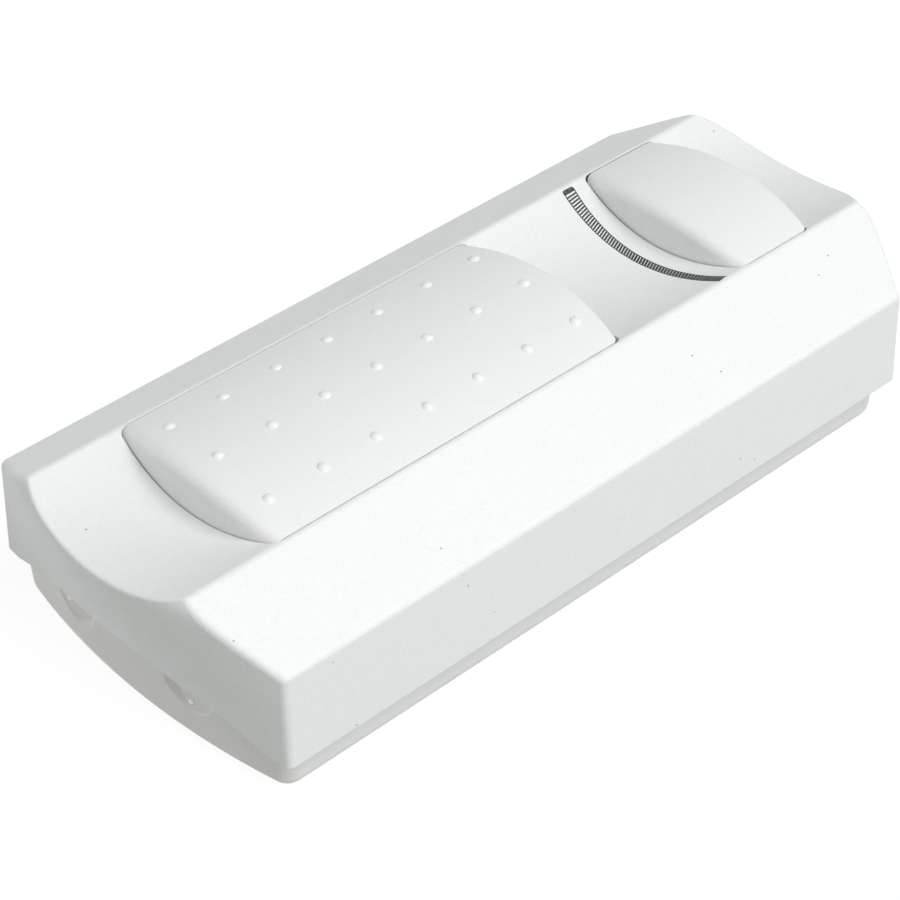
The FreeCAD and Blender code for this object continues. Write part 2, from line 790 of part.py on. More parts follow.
# A small part lying on the board, with its two wires bent down through the board
def lead_part(x, y, length, radius):
    z = board_top_z + radius + lead_lift
    left = x - length / 2 - lead_out
    right = x + length / 2 + lead_out
    bend = lead_bend * (1 - math.cos(math.pi / 4))
    path = Part.Wire([
        line((left, y, board_z), (left, y, z - lead_bend)),
        arc((left, y, z - lead_bend), (left + bend, y, z - bend), (left + lead_bend, y, z)),
        line((left + lead_bend, y, z), (right - lead_bend, y, z)),
        arc((right - lead_bend, y, z), (right - bend, y, z - bend), (right, y, z - lead_bend)),
        line((right, y, z - lead_bend), (right, y, board_z)),
    ])
    ring = Part.Wire(Part.makeCircle(lead_radius, FreeCAD.Vector(left, y, board_z), FreeCAD.Vector(0, 0, 1)))
    wire = path.makePipeShell([ring], True, False)
    return joined([wire, along_x(x - length / 2, x + length / 2, y, z, radius)])


resistor_rows = [resistor_first_y + row * resistor_pitch for row in range(resistor_count)]
lead_parts = [(resistor_x, y, resistor_length) for y in resistor_rows] + [(diac_x, diac_y, diac_length)]


def make_board():
    board = box(board_front_x, board_rear_x, -board_half_width, board_half_width, board_z, board_top_z)
    low = board_z - cut_margin
    high = board_top_z + cut_margin
    holes = [upright(x, y, low, high, small_screw_radius + passing_gap) for x, y in board_post_places]
    for x, y in housing_screw_places:
        holes.append(upright(x, y, low, high, post_radius + board_post_gap))
    seat_radius = spring_mean_radius + spring_seat_margin
    holes.append(upright(spring_x, 0, low, high, seat_radius + board_post_gap))
    for x, y, length in lead_parts:
        for side in (-1, 1):
            holes.append(upright(x + side * (length / 2 + lead_out), y, low, high, lead_radius + running_gap))
    for hole in holes:
        board = board.cut(hole)
    return board


# A screw with a cross recess; its shank runs down or up from the seat of its head.
def screw(x, y, seat_z, radius, length, head_radius, head_height, direction):
    tip_z = seat_z + direction * length
    face_z = seat_z - direction * head_height
    shank = upright(x, y, min(seat_z, tip_z), max(seat_z, tip_z), radius)
    head = upright(x, y, min(seat_z, face_z), max(seat_z, face_z), head_radius)
    arm = head_radius - cross_margin
    body = joined([shank, head])
    for half_x, half_y in ((cross_width / 2, arm), (arm, cross_width / 2)):
        body = body.cut(block(x, y, half_x, half_y, face_z - cross_depth, face_z + cross_depth))
    return body


def make_clamp(side):
    middle = side * entry_y
    bar = block(clamp_x, middle, clamp_width / 2, clamp_length / 2, clamp_seat_z,
                clamp_seat_z + clamp_thickness)
    bar = bar.cut(along_x(clamp_x - clamp_width, clamp_x + clamp_width, middle,
                          clamp_seat_z - clamp_arch_drop, cord_radius - clamp_bite))
    for x, y in clamp_screw_places:
        bar = bar.cut(upright(x, y, clamp_seat_z - cut_margin, clamp_seat_z + clamp_thickness + cut_margin,
                              small_screw_radius + passing_gap))
    return bar


terminal_top_z = board_top_z + terminal_height
terminal_pitch = terminal_length / terminal_poles
terminal_rows = [terminal_pitch * (pole + 0.5) - terminal_length / 2 for pole in range(terminal_poles)]
terminal_screw_z = terminal_top_z - terminal_screw_sink - terminal_screw_length


def make_terminal_block():
    body = block(terminal_x, 0, terminal_width / 2, terminal_length / 2, board_top_z, terminal_top_z)
    for y in terminal_rows:
        body = body.cut(along_x(terminal_x - terminal_width, terminal_x + terminal_width / 4, y,
                                board_top_z + wire_hole_height, wire_hole_radius))
        body = body.cut(upright(terminal_x, y, terminal_screw_z - terminal_slot_depth,
                                terminal_top_z + cut_margin, terminal_screw_radius + running_gap))
    return body


def make_terminal_screws():
    solids = []
    head_z = terminal_screw_z + terminal_screw_length
    for y in terminal_rows:
        shank = upright(terminal_x, y, terminal_screw_z, head_z, terminal_screw_radius)
        solids.append(shank.cut(block(terminal_x, y, terminal_width, terminal_slot_width / 2,
                                      head_z - terminal_slot_depth, head_z + cut_margin)))
    return Part.makeCompound(solids)


def make_fuse():
    front = fuse_x - fuse_length / 2
    rear = fuse_x + fuse_length / 2
    return joined([
        along_x(front, rear, fuse_y, fuse_z, fuse_radius - fuse_glass_step),
        along_x(front, front + fuse_cap_length, fuse_y, fuse_z, fuse_radius),
        along_x(rear - fuse_cap_length, rear, fuse_y, fuse_z, fuse_radius),
    ])


def make_fuse_clips():
    solids = []
    inner_half = fuse_radius + seat_gap
    for side in (-1, 1):
        x = fuse_x + side * (fuse_length - fuse_cap_length) / 2
        outer = block(x, fuse_y, clip_width / 2, inner_half + clip_metal, board_top_z, fuse_z + clip_grip)
        solids.append(outer.cut(block(x, fuse_y, clip_width, inner_half, board_top_z + clip_metal,
                                      fuse_z + 2 * clip_grip)))
    return Part.makeCompound(solids)


def triac_bore(extra):
    return along_y(triac_x, sink_y - sink_thickness - cut_margin, sink_y + triac_depth + cut_margin,
                   board_top_z + triac_screw_rise, triac_screw_radius + extra)


def make_heat_sink():
    half = sink_length / 2
    top_z = board_top_z + sink_height
    wall = box(triac_x - half, triac_x + half, sink_y - sink_thickness, sink_y, board_top_z, top_z)
    shelf = box(triac_x - half, triac_x + half, sink_y - sink_thickness, sink_y + sink_shelf,
                top_z - sink_thickness, top_z)
    shelf = shelf.cut(box(triac_x - triac_width / 2 - cut_margin, triac_x + triac_width / 2 + cut_margin,
                          sink_y, sink_y + 2 * sink_shelf, board_top_z, top_z + cut_margin))
    return joined([wall, shelf]).cut(triac_bore(passing_gap))


def make_triac():
    half = triac_width / 2
    low = board_top_z + triac_lift
    pieces = [
        box(triac_x - half, triac_x + half, sink_y, sink_y + tab_thickness, low, low + tab_height),
        box(triac_x - half, triac_x + half, sink_y, sink_y + triac_depth, low, low + triac_case_height),
    ]
    leg_y = sink_y + leg_setback + leg_thickness / 2
    for leg in (-1, 0, 1):
        pieces.append(block(triac_x + leg * leg_pitch, leg_y, leg_half_width, leg_thickness / 2,
                            board_top_z, low + leg_thickness))
    return joined(pieces).cut(triac_bore(passing_gap))


def make_triac_screw():
    z = board_top_z + triac_screw_rise
    head_y = sink_y + tab_thickness
    return joined([
        along_y(triac_x, sink_y - sink_thickness - triac_screw_reach, head_y, z, triac_screw_radius),
        along_y(triac_x, head_y, head_y + triac_head_height, z, triac_head_radius),
    ])


choke_top_z = board_top_z + choke_height


def make_choke_core():
    return joined([
        upright(bay_x, choke_y, board_top_z, board_top_z + choke_flange, choke_radius),
        upright(bay_x, choke_y, choke_top_z - choke_flange, choke_top_z, choke_radius),
        upright(bay_x, choke_y, board_top_z, choke_top_z, choke_post_radius),
    ])


def make_choke_winding():
    low = board_top_z + choke_flange
    high = choke_top_z - choke_flange
    sleeve = upright(bay_x, choke_y, low, high, choke_radius - winding_margin)
    return sleeve.cut(upright(bay_x, choke_y, low - cut_margin, high + cut_margin, choke_post_radius))


def make_capacitor(x, y, size, rounding):
    case = block(x, y, size[0] / 2, size[1] / 2, board_top_z, board_top_z + size[2])
    upper = [edge for edge in case.Edges if edge.BoundBox.ZMin > board_top_z + seat_gap]
    return case.makeFillet(rounding, upper)


parts = {
    "cover_shell": make_cover(),
    "base_shell": make_base(),
    "foot_key": make_foot_key(),
    "key_hinge_pin": key_pin(0.0),
    "key_return_spring": make_spring(),
    "dimming_rocker": make_rocker(),
    "rocker_pivot_pin": rocker_pin(0.0),
    "potentiometer_body": make_pot_body(),
    "potentiometer_slider": make_pot_slider(),
    "push_switch_body": make_switch_body(),
    "push_switch_plunger": make_plunger(),
    "circuit_board": make_board(),
    "board_screws": Part.makeCompound([
        screw(x, y, board_top_z, small_screw_radius, board_screw_length, small_head_radius,
              small_head_height, -1) for x, y in board_post_places]),
    "housing_screws": Part.makeCompound([
        screw(x, y, screw_shoulder_z, housing_screw_radius, housing_screw_length, housing_head_radius,
              housing_head_height, 1) for x, y in housing_screw_places]),
    "foot_pads": Part.makeCompound([
        upright(x, y, 0.0, pad_stand + pad_recess, pad_radius) for x, y in pad_places]),
    "cord_clamp_left": make_clamp(1),
    "cord_clamp_right": make_clamp(-1),
    "clamp_screws": Part.makeCompound([
        screw(x, y, clamp_seat_z + clamp_thickness, small_screw_radius, clamp_screw_length,
              small_head_radius, small_head_height, -1) for x, y in clamp_screw_places]),
    "terminal_block": make_terminal_block(),
    "terminal_screws": make_terminal_screws(),
    "fuse": make_fuse(),
    "fuse_clips": make_fuse_clips(),
    "heat_sink": make_heat_sink(),
    "triac": make_triac(),
    "triac_screw": make_triac_screw(),
    "choke_core": make_choke_core(),
    "choke_winding": make_choke_winding(),
    "suppression_capacitor": make_capacitor(bay_x, capacitor_y, capacitor_size, capacitor_round),
    "timing_capacitor": make_capacitor(timing_x, timing_y, timing_size, timing_round),
    "resistors": Part.makeCompound([
        lead_part(resistor_x, y, resistor_length, resistor_radius) for y in resistor_rows]),
    "diac": lead_part(diac_x, diac_y, diac_length, diac_radius),
}

os.makedirs("parts", exist_ok=True)
for name, shape in parts.items():
    shape.exportStep(os.path.join("parts", name + ".step"))
    print(name, "solids", len(shape.Solids), "valid", shape.isValid(), "volume", round(shape.Volume, 1))
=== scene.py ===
# %% [markdown]
# An inline dimmer that is worked by foot. It lies on the floor in the cord of a lamp: the large
# nubbed key switches, the small rocker sets the level, and a printed scale says which way is
# brighter. Everything here is in metres, in the same frame as the construction model, which is
# loaded first and never moved. Sizes are written in millimetres and multiplied by MM.

# %% Load the frame
import json
import math

import bmesh
import bpy
from mathutils import Matrix, Vector


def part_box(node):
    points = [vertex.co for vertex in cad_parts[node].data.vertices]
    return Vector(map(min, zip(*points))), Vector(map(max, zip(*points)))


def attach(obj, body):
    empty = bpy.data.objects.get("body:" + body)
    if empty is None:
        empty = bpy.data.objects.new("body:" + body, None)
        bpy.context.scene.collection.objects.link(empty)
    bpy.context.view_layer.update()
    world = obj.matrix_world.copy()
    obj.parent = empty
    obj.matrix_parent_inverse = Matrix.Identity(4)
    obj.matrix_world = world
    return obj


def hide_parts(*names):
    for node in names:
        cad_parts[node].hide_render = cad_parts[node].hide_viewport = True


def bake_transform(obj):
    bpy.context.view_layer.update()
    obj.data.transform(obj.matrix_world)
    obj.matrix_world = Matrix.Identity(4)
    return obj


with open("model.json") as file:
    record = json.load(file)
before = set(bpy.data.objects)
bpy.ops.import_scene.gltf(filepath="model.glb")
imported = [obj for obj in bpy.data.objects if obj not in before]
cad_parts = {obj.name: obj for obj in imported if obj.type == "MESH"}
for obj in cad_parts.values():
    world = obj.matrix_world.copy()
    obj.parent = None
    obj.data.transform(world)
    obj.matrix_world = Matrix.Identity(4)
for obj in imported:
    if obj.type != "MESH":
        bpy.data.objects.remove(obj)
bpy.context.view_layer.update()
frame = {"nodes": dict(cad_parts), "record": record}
nodes = frame["nodes"]
MM = 0.001

# %% [markdown]
# The camera stands where the photograph was taken: a little more than 40 cm from the dimmer, in
# front of its left corner and high above it. Its place, its direction and a small roll were worked
# out once from the long straight edges of the housing. A long lens keeps those edges almost
# parallel. The camera's axes are built by hand, because a Track To constraint can't hold a roll.

# %% Camera
CAMERA_AZIMUTH = math.radians(-43.155)
CAMERA_ELEVATION = math.radians(39.148)
CAMERA_ROLL = math.radians(-0.085)
CAMERA_PLACE = Vector((-225.29, -236.75, 275.42)) * MM
FOCAL_PIXELS = 2893.4
PICTURE_PIXELS = 900
SENSOR_MM = 36.0
NEAREST, FARTHEST = 0.01, 20


def make_camera():
    data = bpy.data.cameras.new("camera")
    data.sensor_width = SENSOR_MM
    data.sensor_fit = "HORIZONTAL"
    data.lens = SENSOR_MM * FOCAL_PIXELS / PICTURE_PIXELS
    data.clip_start = NEAREST
    data.clip_end = FARTHEST
    level = math.cos(CAMERA_ELEVATION)
    back = Vector((math.sin(CAMERA_AZIMUTH) * level, -math.cos(CAMERA_AZIMUTH) * level,
                   math.sin(CAMERA_ELEVATION)))
    right = Vector((math.cos(CAMERA_AZIMUTH), math.sin(CAMERA_AZIMUTH), 0))
    up = back.cross(right)
    rolled_right = right * math.cos(CAMERA_ROLL) + up * math.sin(CAMERA_ROLL)
    rolled_up = up * math.cos(CAMERA_ROLL) - right * math.sin(CAMERA_ROLL)
    turn = Matrix((rolled_right, rolled_up, back)).transposed().to_4x4()
    camera = bpy.data.objects.new("camera", data)
    camera.matrix_world = Matrix.Translation(CAMERA_PLACE) @ turn
    bpy.context.scene.collection.objects.link(camera)
    bpy.context.scene.camera = camera
    print("camera lens, mm:", round(data.lens, 2))


make_camera()

# %% [markdown]
# A material is a small graph of nodes. Almost all of them here start the same way: a Principled
# shader, and Object coordinates, which are the real place on the part, so a grain of 0.3 mm is
# 0.3 mm on every piece. Stretching the coordinates along an axis turns grain into streaks.

# %% The start of a material
def new_finish(name, colour, roughness, metallic=0.0, specular=0.5):
    finish = bpy.data.materials.new(name)
    finish.use_nodes = True
    tree = finish.node_tree
    shader = tree.nodes["Principled BSDF"]
    shader.inputs["Base Color"].default_value = (*colour, 1)
    shader.inputs["Roughness"].default_value = roughness
    shader.inputs["Metallic"].default_value = metallic
    shader.inputs["Specular IOR Level"].default_value = specular
    return finish, tree, shader


def object_place(tree, stretch=(1, 1, 1)):
    place = tree.nodes.new("ShaderNodeTexCoord")
    mapping = tree.nodes.new("ShaderNodeMapping")
    mapping.inputs["Scale"].default_value = stretch
    tree.links.new(place.outputs["Object"], mapping.inputs["Vector"])
    return mapping.outputs["Vector"]


def grey(level):
    return (level, level, level)


def scaled(colour, share):
    return tuple(part * share for part in colour)


# %% [markdown]
# Three nodes do most of the work. A noise gives a soft random pattern, whose size is set as the
# real width of its grain. A ramp turns that pattern into two colours, and the closer its two
# stops lie together, the harder the change from one to the other. A bump tilts the surface by
# the pattern, as if it stood up by that many millimetres.

# %% Noise, ramp and bump
def add_noise(tree, vector, grain_mm, detail=2.0):
    noise = tree.nodes.new("ShaderNodeTexNoise")
    noise.inputs["Scale"].default_value = 1 / (grain_mm * MM)
    noise.inputs["Detail"].default_value = detail
    tree.links.new(vector, noise.inputs["Vector"])
    return noise.outputs["Fac"]


def add_ramp(tree, factor, first, last, start=0.3, end=0.7):
    ramp = tree.nodes.new("ShaderNodeValToRGB")
    stops = zip(ramp.color_ramp.elements, (start, end), (first, last))
    for element, position, colour in stops:
        element.position = position
        element.color = (*colour, 1)
    tree.links.new(factor, ramp.inputs["Fac"])
    return ramp.outputs["Color"]


def add_bump(tree, shader, height, depth_mm, strength):
    bump = tree.nodes.new("ShaderNodeBump")
    bump.inputs["Strength"].default_value = strength
    bump.inputs["Distance"].default_value = depth_mm * MM
    tree.links.new(height, bump.inputs["Height"])
    tree.links.new(bump.outputs["Normal"], shader.inputs["Normal"])


# %% [markdown]
# Where a piece has two materials, they are told apart by place. A band is 1 between two places
# along an axis and 0 elsewhere: two comparisons, multiplied. A mix then takes one colour where
# the band is 0 and the other where it is 1. Both take plain values as well as links.

# %% Sums, bands and mixes
def add_math(tree, operation, first, second):
    node = tree.nodes.new("ShaderNodeMath")
    node.operation = operation
    for socket, value in zip(node.inputs, (first, second)):
        if isinstance(value, (int, float)):
            socket.default_value = value
        else:
            tree.links.new(value, socket)
    return node.outputs[0]


def add_band(tree, vector, axis, low, high):
    split = tree.nodes.new("ShaderNodeSeparateXYZ")
    tree.links.new(vector, split.inputs["Vector"])
    above = add_math(tree, "GREATER_THAN", split.outputs[axis], low)
    below = add_math(tree, "LESS_THAN", split.outputs[axis], high)
    return add_math(tree, "MULTIPLY", above, below)


def add_mix(tree, factor, first, second):
    mix = tree.nodes.new("ShaderNodeMix")
    mix.data_type = "RGBA"
    tree.links.new(factor, mix.inputs["Factor"])
    for socket, value in ((mix.inputs["A"], first), (mix.inputs["B"], second)):
        if isinstance(value, tuple):
            socket.default_value = (*value, 1)
        else:
            tree.links.new(value, socket)
    return mix.outputs["Result"]


# %% [markdown]
# White housings like this one are moulded in ABS, and the mould is spark-eroded, which leaves a
# fine matt grain of about a third of a millimetre. Three things make it look real: the grain, as
# a shallow bump whose pits get a little painted shade, a roughness that wanders a little,
# and a few tiny grey specks of dust, which the photograph shows on the cover. The specks come
# from a Voronoi texture: it scatters points through space, and the few that lie just at the
# surface show as dots.

# %% Moulded white plastic
CLOUD_MM = 14.0
CLOUD_SHARES = (1.01, 1.022)
# Painted shade: the share of the colour that is kept in the pits of the grain
PIT_SHADE_SHARE = 0.975
GRAIN_DEPTH_MM = 0.1
SHEEN_MM = 3.0
LEAST_ROUGH, MOST_ROUGH = 0.46, 0.56
SPECK_CELL_MM = 5.0
SPECK_RADIUS_MM = 0.15
SPECK_COLOUR = (0.36, 0.35, 0.32)


def add_specks(tree, vector, tint):
    cells = tree.nodes.new("ShaderNodeTexVoronoi")
    cells.inputs["Scale"].default_value = 1 / (SPECK_CELL_MM * MM)
    tree.links.new(vector, cells.inputs["Vector"])
    reach = SPECK_RADIUS_MM / SPECK_CELL_MM
    near = add_math(tree, "LESS_THAN", cells.outputs["Distance"], reach)
    return add_mix(tree, near, tint, SPECK_COLOUR)


def white_plastic(name, colour, grain_mm, grain_strength, with_specks=False):
    finish, tree, shader = new_finish(name, colour, MOST_ROUGH, specular=0.35)
    vector = object_place(tree)
    cloud = add_noise(tree, vector, CLOUD_MM, detail=3.0)
    dull, bright = (scaled(colour, share) for share in CLOUD_SHARES)
    clouded = add_ramp(tree, cloud, dull, bright)
    grain = add_noise(tree, vector, grain_mm, detail=4.0)
    peaks = add_ramp(tree, grain, grey(0.0), grey(1.0), start=0.35, end=0.65)
    # Painted shade: the pits of the grain are darkened, and the peaks keep the clouded colour
    tint = add_mix(tree, peaks, scaled(colour, PIT_SHADE_SHARE), clouded)
    wander = add_noise(tree, vector, SHEEN_MM)
    sheen = add_ramp(tree, wander, grey(LEAST_ROUGH), grey(MOST_ROUGH))
    tree.links.new(sheen, shader.inputs["Roughness"])
    if with_specks:
        tint = add_specks(tree, vector, tint)
    tree.links.new(tint, shader.inputs["Base Color"])
    add_bump(tree, shader, grain, GRAIN_DEPTH_MM, grain_strength)
    return finish


# %% [markdown]
# The pieces inside have a metal or a plastic finish. Metal that was drawn, rolled or brushed is
# streaked, so its noise is stretched along one axis by scaling the coordinates of the others up,
# and its gloss changes with the streaks. Plastic gets a little mottling in its colour and a grain
# in its bump.

# %% Metals and plain plastics
STREAK_SHARE = 0.85
SMOOTHED, WORN = 0.8, 1.3
RELIEF = 0.4
MOTTLE_MM = 4.0


def metal(name, colour, roughness, grain_mm, stretch=(1, 1, 1), depth_mm=0.01):
    finish, tree, shader = new_finish(name, colour, roughness, metallic=1.0)
    vector = object_place(tree, stretch)
    streaks = add_noise(tree, vector, grain_mm, detail=3.0)
    tint = add_ramp(tree, streaks, scaled(colour, STREAK_SHARE), colour)
    tree.links.new(tint, shader.inputs["Base Color"])
    smooth, rough = grey(roughness * SMOOTHED), grey(roughness * WORN)
    wear = add_ramp(tree, streaks, smooth, rough, start=0.2, end=0.8)
    tree.links.new(wear, shader.inputs["Roughness"])
    add_bump(tree, shader, streaks, depth_mm, RELIEF)
    return finish


def plastic(name, colour, roughness, grain_mm=0.3, depth_mm=0.03, mottle=0.92):
    finish, tree, shader = new_finish(name, colour, roughness, specular=0.4)
    vector = object_place(tree)
    cloud = add_noise(tree, vector, MOTTLE_MM, detail=3.0)
    tint = add_ramp(tree, cloud, scaled(colour, mottle), colour)
    tree.links.new(tint, shader.inputs["Base Color"])
    grain = add_noise(tree, vector, grain_mm, detail=3.0)
    add_bump(tree, shader, grain, depth_mm, RELIEF)
    return finish


# %% [markdown]
# Some pieces are one solid in the construction model but two materials in life. A resistor and a
# small glass diode have tinned wires, and rings of colour round their middle. The finish tells
# them apart with bands along the X axis, whose limits come from the box of the node.

# %% Bodies with coloured rings
TINNED = (0.72, 0.72, 0.70)
RING_BROWN = (0.10, 0.03, 0.01)
RING_BLACK = (0.01, 0.01, 0.01)
RING_ORANGE = (0.75, 0.22, 0.02)
RING_GOLD = (0.55, 0.38, 0.08)
RESISTOR_HALF_LENGTH, RESISTOR_RING_WIDTH = 3.0, 0.5
DIAC_HALF_LENGTH, DIAC_RING_WIDTH = 1.5, 0.4
resistor_rings = {-1.9: RING_BROWN, -0.9: RING_BLACK, 0.1: RING_ORANGE, 1.9: RING_GOLD}
diac_rings = {0.9: RING_BLACK}


def middle_x(node):
    low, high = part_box(node)
    return (low[0] + high[0]) / 2


def banded_part(name, node, colour, half_length, rings, ring_width):
    finish, tree, shader = new_finish(name, colour, 0.4)
    vector = object_place(tree)
    centre = middle_x(node)
    reach = half_length * MM
    body = add_band(tree, vector, "X", centre - reach, centre + reach)
    mottled = add_noise(tree, vector, 1.5)
    tint = add_ramp(tree, mottled, scaled(colour, 0.9), colour)
    for offset, ring_colour in rings.items():
        start = centre + (offset - ring_width / 2) * MM
        ring = add_band(tree, vector, "X", start, start + ring_width * MM)
        tint = add_mix(tree, ring, tint, ring_colour)
    tint = add_mix(tree, body, TINNED, tint)
    tree.links.new(tint, shader.inputs["Base Color"])
    tree.links.new(add_math(tree, "SUBTRACT", 1.0, body), shader.inputs["Metallic"])
    return finish


# %% [markdown]
# The fuse is a glass tube between two nickelled caps. Its glass band drives three sockets: the
# colour, the metal, which is all that isn't glass, and the light that passes through.

# %% Fuse
FUSE_CAP = 5.0
FUSE_CLEARNESS = 0.9
GLASS_COLOUR = (0.9, 0.95, 0.93)
NICKEL_DULL = (0.62, 0.61, 0.58)
NICKEL_BRIGHT = (0.78, 0.77, 0.74)


def fuse_finish():
    finish, tree, shader = new_finish("fuse_glass_and_caps", GLASS_COLOUR, 0.08)
    vector = object_place(tree)
    low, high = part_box("fuse")
    cap = FUSE_CAP * MM
    glass = add_band(tree, vector, "X", low[0] + cap, high[0] - cap)
    nickel = add_ramp(tree, add_noise(tree, vector, 0.8), NICKEL_DULL, NICKEL_BRIGHT)
    tint = add_mix(tree, glass, nickel, GLASS_COLOUR)
    tree.links.new(tint, shader.inputs["Base Color"])
    tree.links.new(add_math(tree, "SUBTRACT", 1.0, glass), shader.inputs["Metallic"])
    clear = add_math(tree, "MULTIPLY", glass, FUSE_CLEARNESS)
    tree.links.new(clear, shader.inputs["Transmission Weight"])
    return finish


# %% [markdown]
# The board is paper laminate: tan brown with faint fibres, and green lacquer on its underside,
# where the copper runs. The lacquer is a band along Z, from below the board to just inside it.

# %% Board
RESIN_COLOUR = (0.46, 0.30, 0.14)
LACQUER_COLOUR = (0.05, 0.22, 0.10)
LACQUER_THICKNESS = 0.05
FIBRE_STRETCH = (1, 6, 6)


def board_finish():
    finish, tree, shader = new_finish("board_laminate", RESIN_COLOUR, 0.45)
    stretched = object_place(tree, FIBRE_STRETCH)
    fibres = add_noise(tree, stretched, 2.5, detail=5.0)
    dark_resin = scaled(RESIN_COLOUR, 0.8)
    tint = add_ramp(tree, fibres, dark_resin, RESIN_COLOUR, start=0.35, end=0.65)
    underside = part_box("circuit_board")[0][2]
    place = object_place(tree)
    under = add_band(tree, place, "Z", underside - MM, underside + LACQUER_THICKNESS * MM)
    tree.links.new(add_mix(tree, under, tint, LACQUER_COLOUR), shader.inputs["Base Color"])
    add_bump(tree, shader, fibres, depth_mm=0.02, strength=0.3)
    return finish


# %% [markdown]
# Every slot of the construction model's record now gets its finish. The three whites differ a
# little, as the photograph shows: the base is the warmest, and the key has the finest grain.

# %% Finishes of all the nodes
COVER_WHITE = (0.825, 0.857, 0.85)
BASE_WHITE = (0.845, 0.85, 0.83)
KEY_WHITE = (0.835, 0.855, 0.85)
SHELL_GRAIN_MM, SHELL_GRAIN = 0.35, 0.5
KEY_GRAIN_MM, KEY_GRAIN = 0.28, 0.4
finishes = {
    "cover_white": white_plastic("white_abs_cover", COVER_WHITE, SHELL_GRAIN_MM, SHELL_GRAIN,
                                 with_specks=True),
    "base_white": white_plastic("white_abs_base", BASE_WHITE, SHELL_GRAIN_MM, SHELL_GRAIN),
    "key_white": white_plastic("white_abs_key", KEY_WHITE, KEY_GRAIN_MM, KEY_GRAIN),
    "steel": metal("drawn_steel", (0.60, 0.60, 0.61), roughness=0.3, grain_mm=0.4,
                   stretch=(1, 5, 5)),
    "zinc_screw": metal("zinc_plated", (0.68, 0.70, 0.74), roughness=0.28, grain_mm=0.6),
    "brass_contact": metal("brass", (0.78, 0.58, 0.26), roughness=0.3, grain_mm=0.5),
    "sink_aluminium": metal("rolled_aluminium", (0.80, 0.81, 0.82), roughness=0.35,
                            grain_mm=0.3, stretch=(0.2, 1, 4)),
    "copper_wire": metal("lacquered_copper", (0.72, 0.34, 0.18), roughness=0.25, grain_mm=0.8),
    "black_plastic": plastic("black_moulding", (0.025, 0.025, 0.027), roughness=0.5),
    "cream_plastic": plastic("natural_nylon", (0.80, 0.76, 0.66), roughness=0.45),
    "pad_rubber": plastic("soft_rubber", (0.09, 0.09, 0.09), roughness=0.85, grain_mm=0.25,
                          depth_mm=0.06),
    "ferrite": plastic("sintered_ferrite", (0.06, 0.06, 0.065), roughness=0.6, grain_mm=0.4,
                       depth_mm=0.05, mottle=0.8),
    "capacitor_yellow": plastic("yellow_case", (0.80, 0.58, 0.08), roughness=0.35),
    "capacitor_green": plastic("green_lacquer", (0.06, 0.26, 0.12), roughness=0.25,
                               grain_mm=0.8),
    "board_resin": board_finish(),
    "fuse_glass": fuse_finish(),
    "resistor_tan": banded_part("resistor_lacquer", "resistors", (0.72, 0.58, 0.38),
                                RESISTOR_HALF_LENGTH, resistor_rings, RESISTOR_RING_WIDTH),
    "diac_blue": banded_part("diac_glass", "diac", (0.10, 0.22, 0.50),
                             DIAC_HALF_LENGTH, diac_rings, DIAC_RING_WIDTH),
}
for subpart in frame["record"]["subparts"]:
    slots = nodes[subpart["node"]].data.materials
    slots.clear()
    slots.append(finishes[subpart["material_slot"]])
print("finishes:", len(finishes))

# %% [markdown]
# The new pieces follow. Each is a mesh at the origin with its place in its points, so that it
# rides on a body of the frame. Most start from a grid whose points are then laid on a curve: the
# grid is one unit wide, and its place (across, along), each from 0 to 1, says where a point goes.

# %% Helpers for pieces
GRID_HALF = 0.5
MERGE_REACH = 0.001 * MM


def finish_piece(name, shape, body, finish, smooth=True):
    mesh = bpy.data.meshes.new(name)
    shape.to_mesh(mesh)
    shape.free()
    for face in mesh.polygons:
        face.use_smooth = smooth
    mesh.materials.append(finish)
    piece = bpy.data.objects.new(name, mesh)
    bpy.context.scene.collection.objects.link(piece)
    if body:
        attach(piece, body)
    print(name, "faces:", len(mesh.polygons))
    return piece


def laid_grid(across, along, place):
    shape = bmesh.new()
    bmesh.ops.create_grid(shape, x_segments=across, y_segments=along, size=GRID_HALF)
    for vertex in shape.verts:
        vertex.co = place(vertex.co.x + GRID_HALF, vertex.co.y + GRID_HALF)
    return shape


# %% [markdown]
# The scale is printed on the hollow channel of the cover, in front of the rocker. The gap between
# the lips and the depth of the channel give the radius of the hollow, and each mark lies on it,
# lifted by the thickness of the ink. Seen from above, the scale is a bent band: its front and its
# rear edge are two shallow bows across the channel.

# %% The hollow channel and the edges of the scale
LIP_HALF_GAP = 16.5
CHANNEL_DEPTH = 3.6
LIP_HEIGHT = 31.1
INK_LIFT = 0.02
SCALE_HALF = 16.0
SCALE_FRONT, SCALE_FRONT_BOW = 33.0, 1.77
SCALE_REAR, SCALE_REAR_BOW, SCALE_REAR_TAPER = 34.52, 2.15, 0.25
SCALE_LEFT, SCALE_RIGHT = 15.7, -16.1
hollow_radius = (LIP_HALF_GAP ** 2 + CHANNEL_DEPTH ** 2) / (2 * CHANNEL_DEPTH)
hollow_axis = LIP_HEIGHT - CHANNEL_DEPTH + hollow_radius
print("radius of the channel, mm:", round(hollow_radius, 2))


def on_channel(x, y):
    reach = hollow_radius - INK_LIFT
    return Vector((x, y, hollow_axis - math.sqrt(reach ** 2 - y ** 2))) * MM


def scale_front(y):
    return SCALE_FRONT + SCALE_FRONT_BOW * (y / SCALE_HALF) ** 2


def scale_rear(y):
    bow = SCALE_REAR_BOW * (y / SCALE_HALF) ** 2
    return SCALE_REAR + bow + SCALE_REAR_TAPER * y / SCALE_HALF


# %% [markdown]
# A thin border runs round the scale: along its front edge, round a cap at the faint end, and back
# along its rear edge. It is a ribbon along that path, given the thickness of the ink. Solidify
# leaves the faces of such a ribbon pointing inwards, so they are turned out again.

# %% Border of the scale
BORDER_STEPS = 40
BORDER_WIDTH = 0.18
CAP_ROUND = 0.35
CAP_STEPS = 6
cap_y = SCALE_LEFT - CAP_ROUND


